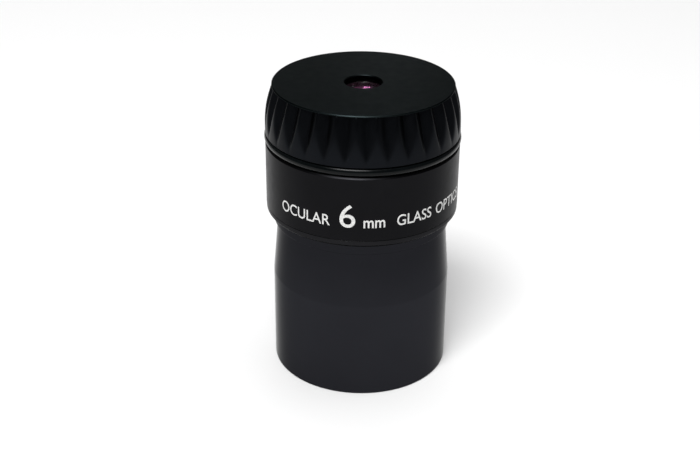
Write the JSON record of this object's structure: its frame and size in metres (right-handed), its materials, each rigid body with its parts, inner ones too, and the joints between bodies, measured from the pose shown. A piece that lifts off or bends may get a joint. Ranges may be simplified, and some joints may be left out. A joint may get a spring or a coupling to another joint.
{
  "type": "telescope eyepiece",
  "caption": "Round black telescope eyepiece with a plain push-fit nosepiece, a threaded housing, a fluted eye cap and a small coated eye lens.",
  "frame": {"origin": "centre of the nosepiece's bottom face, on the optical axis", "axes": "+Z along the optical axis towards the eye; +X to the right when the marked side, which faces -Y, is seen from the front"},
  "size_m": [0.0342, 0.0342, 0.0532],
  "materials": {
    "gloss_black_metal": "gloss black anodised, turned",
    "satin_black_metal": "satin black anodised, fine bead blast",
    "grip_metal": "satin black anodised, milled flutes",
    "blackened_metal": "matte black anodised",
    "gloss_black_rubber": "moulded, glossy",
    "flint_glass": "polished, magenta anti-reflection coating",
    "crown_glass": "polished",
    "optical_cement": "clear cured cement",
    "white_print": "white ink, printed on the housing"
  },
  "bodies": {
    "nosepiece": {"nosepiece_barrel": "gloss_black_metal"},
    "shoulder": {"shoulder_ring": "satin_black_metal"},
    "housing": {"housing_shell": "satin_black_metal", "lens_cell": "blackened_metal", "cell_lock_ring": "blackened_metal", "field_stop": "blackened_metal", "field_retaining_ring": "blackened_metal", "slip_ring": "blackened_metal", "field_flint": "flint_glass", "field_cement": "optical_cement", "field_crown": "crown_glass", "lens_spacer": "blackened_metal", "eye_crown": "crown_glass", "eye_cement": "optical_cement", "eye_flint": "flint_glass", "eye_lens_shim": "blackened_metal"},
    "o_ring": {"joint_o_ring": "gloss_black_rubber"},
    "eye_cap": {"cap_core": "blackened_metal", "grip_sleeve": "grip_metal", "cap_plate": "satin_black_metal"}
  },
  "joints": [
    {"name": "housing_lift", "type": "slide", "parent": "nosepiece", "child": "shoulder", "axis": [0, 0, 1], "range_m": [0, 0.00413]},
    {"name": "housing_screw", "type": "hinge", "parent": "shoulder", "child": "housing", "pos_m": [0, 0, 0.0334], "axis": [0, 0, 1], "range_deg": [0, 1980]},
    {"name": "cap_lift", "type": "slide", "parent": "housing", "child": "o_ring", "axis": [0, 0, 1], "range_m": [0, 0.00337]},
    {"name": "cap_screw", "type": "hinge", "parent": "o_ring", "child": "eye_cap", "pos_m": [0, 0, 0.0412], "axis": [0, 0, 1], "range_deg": [0, 1620]}
  ],
  "couplings": [
    {"joint": "housing_screw", "follows": "housing_lift", "rad_per_m": 8377.6},
    {"joint": "cap_screw", "follows": "cap_lift", "rad_per_m": 8377.6}
  ]
}
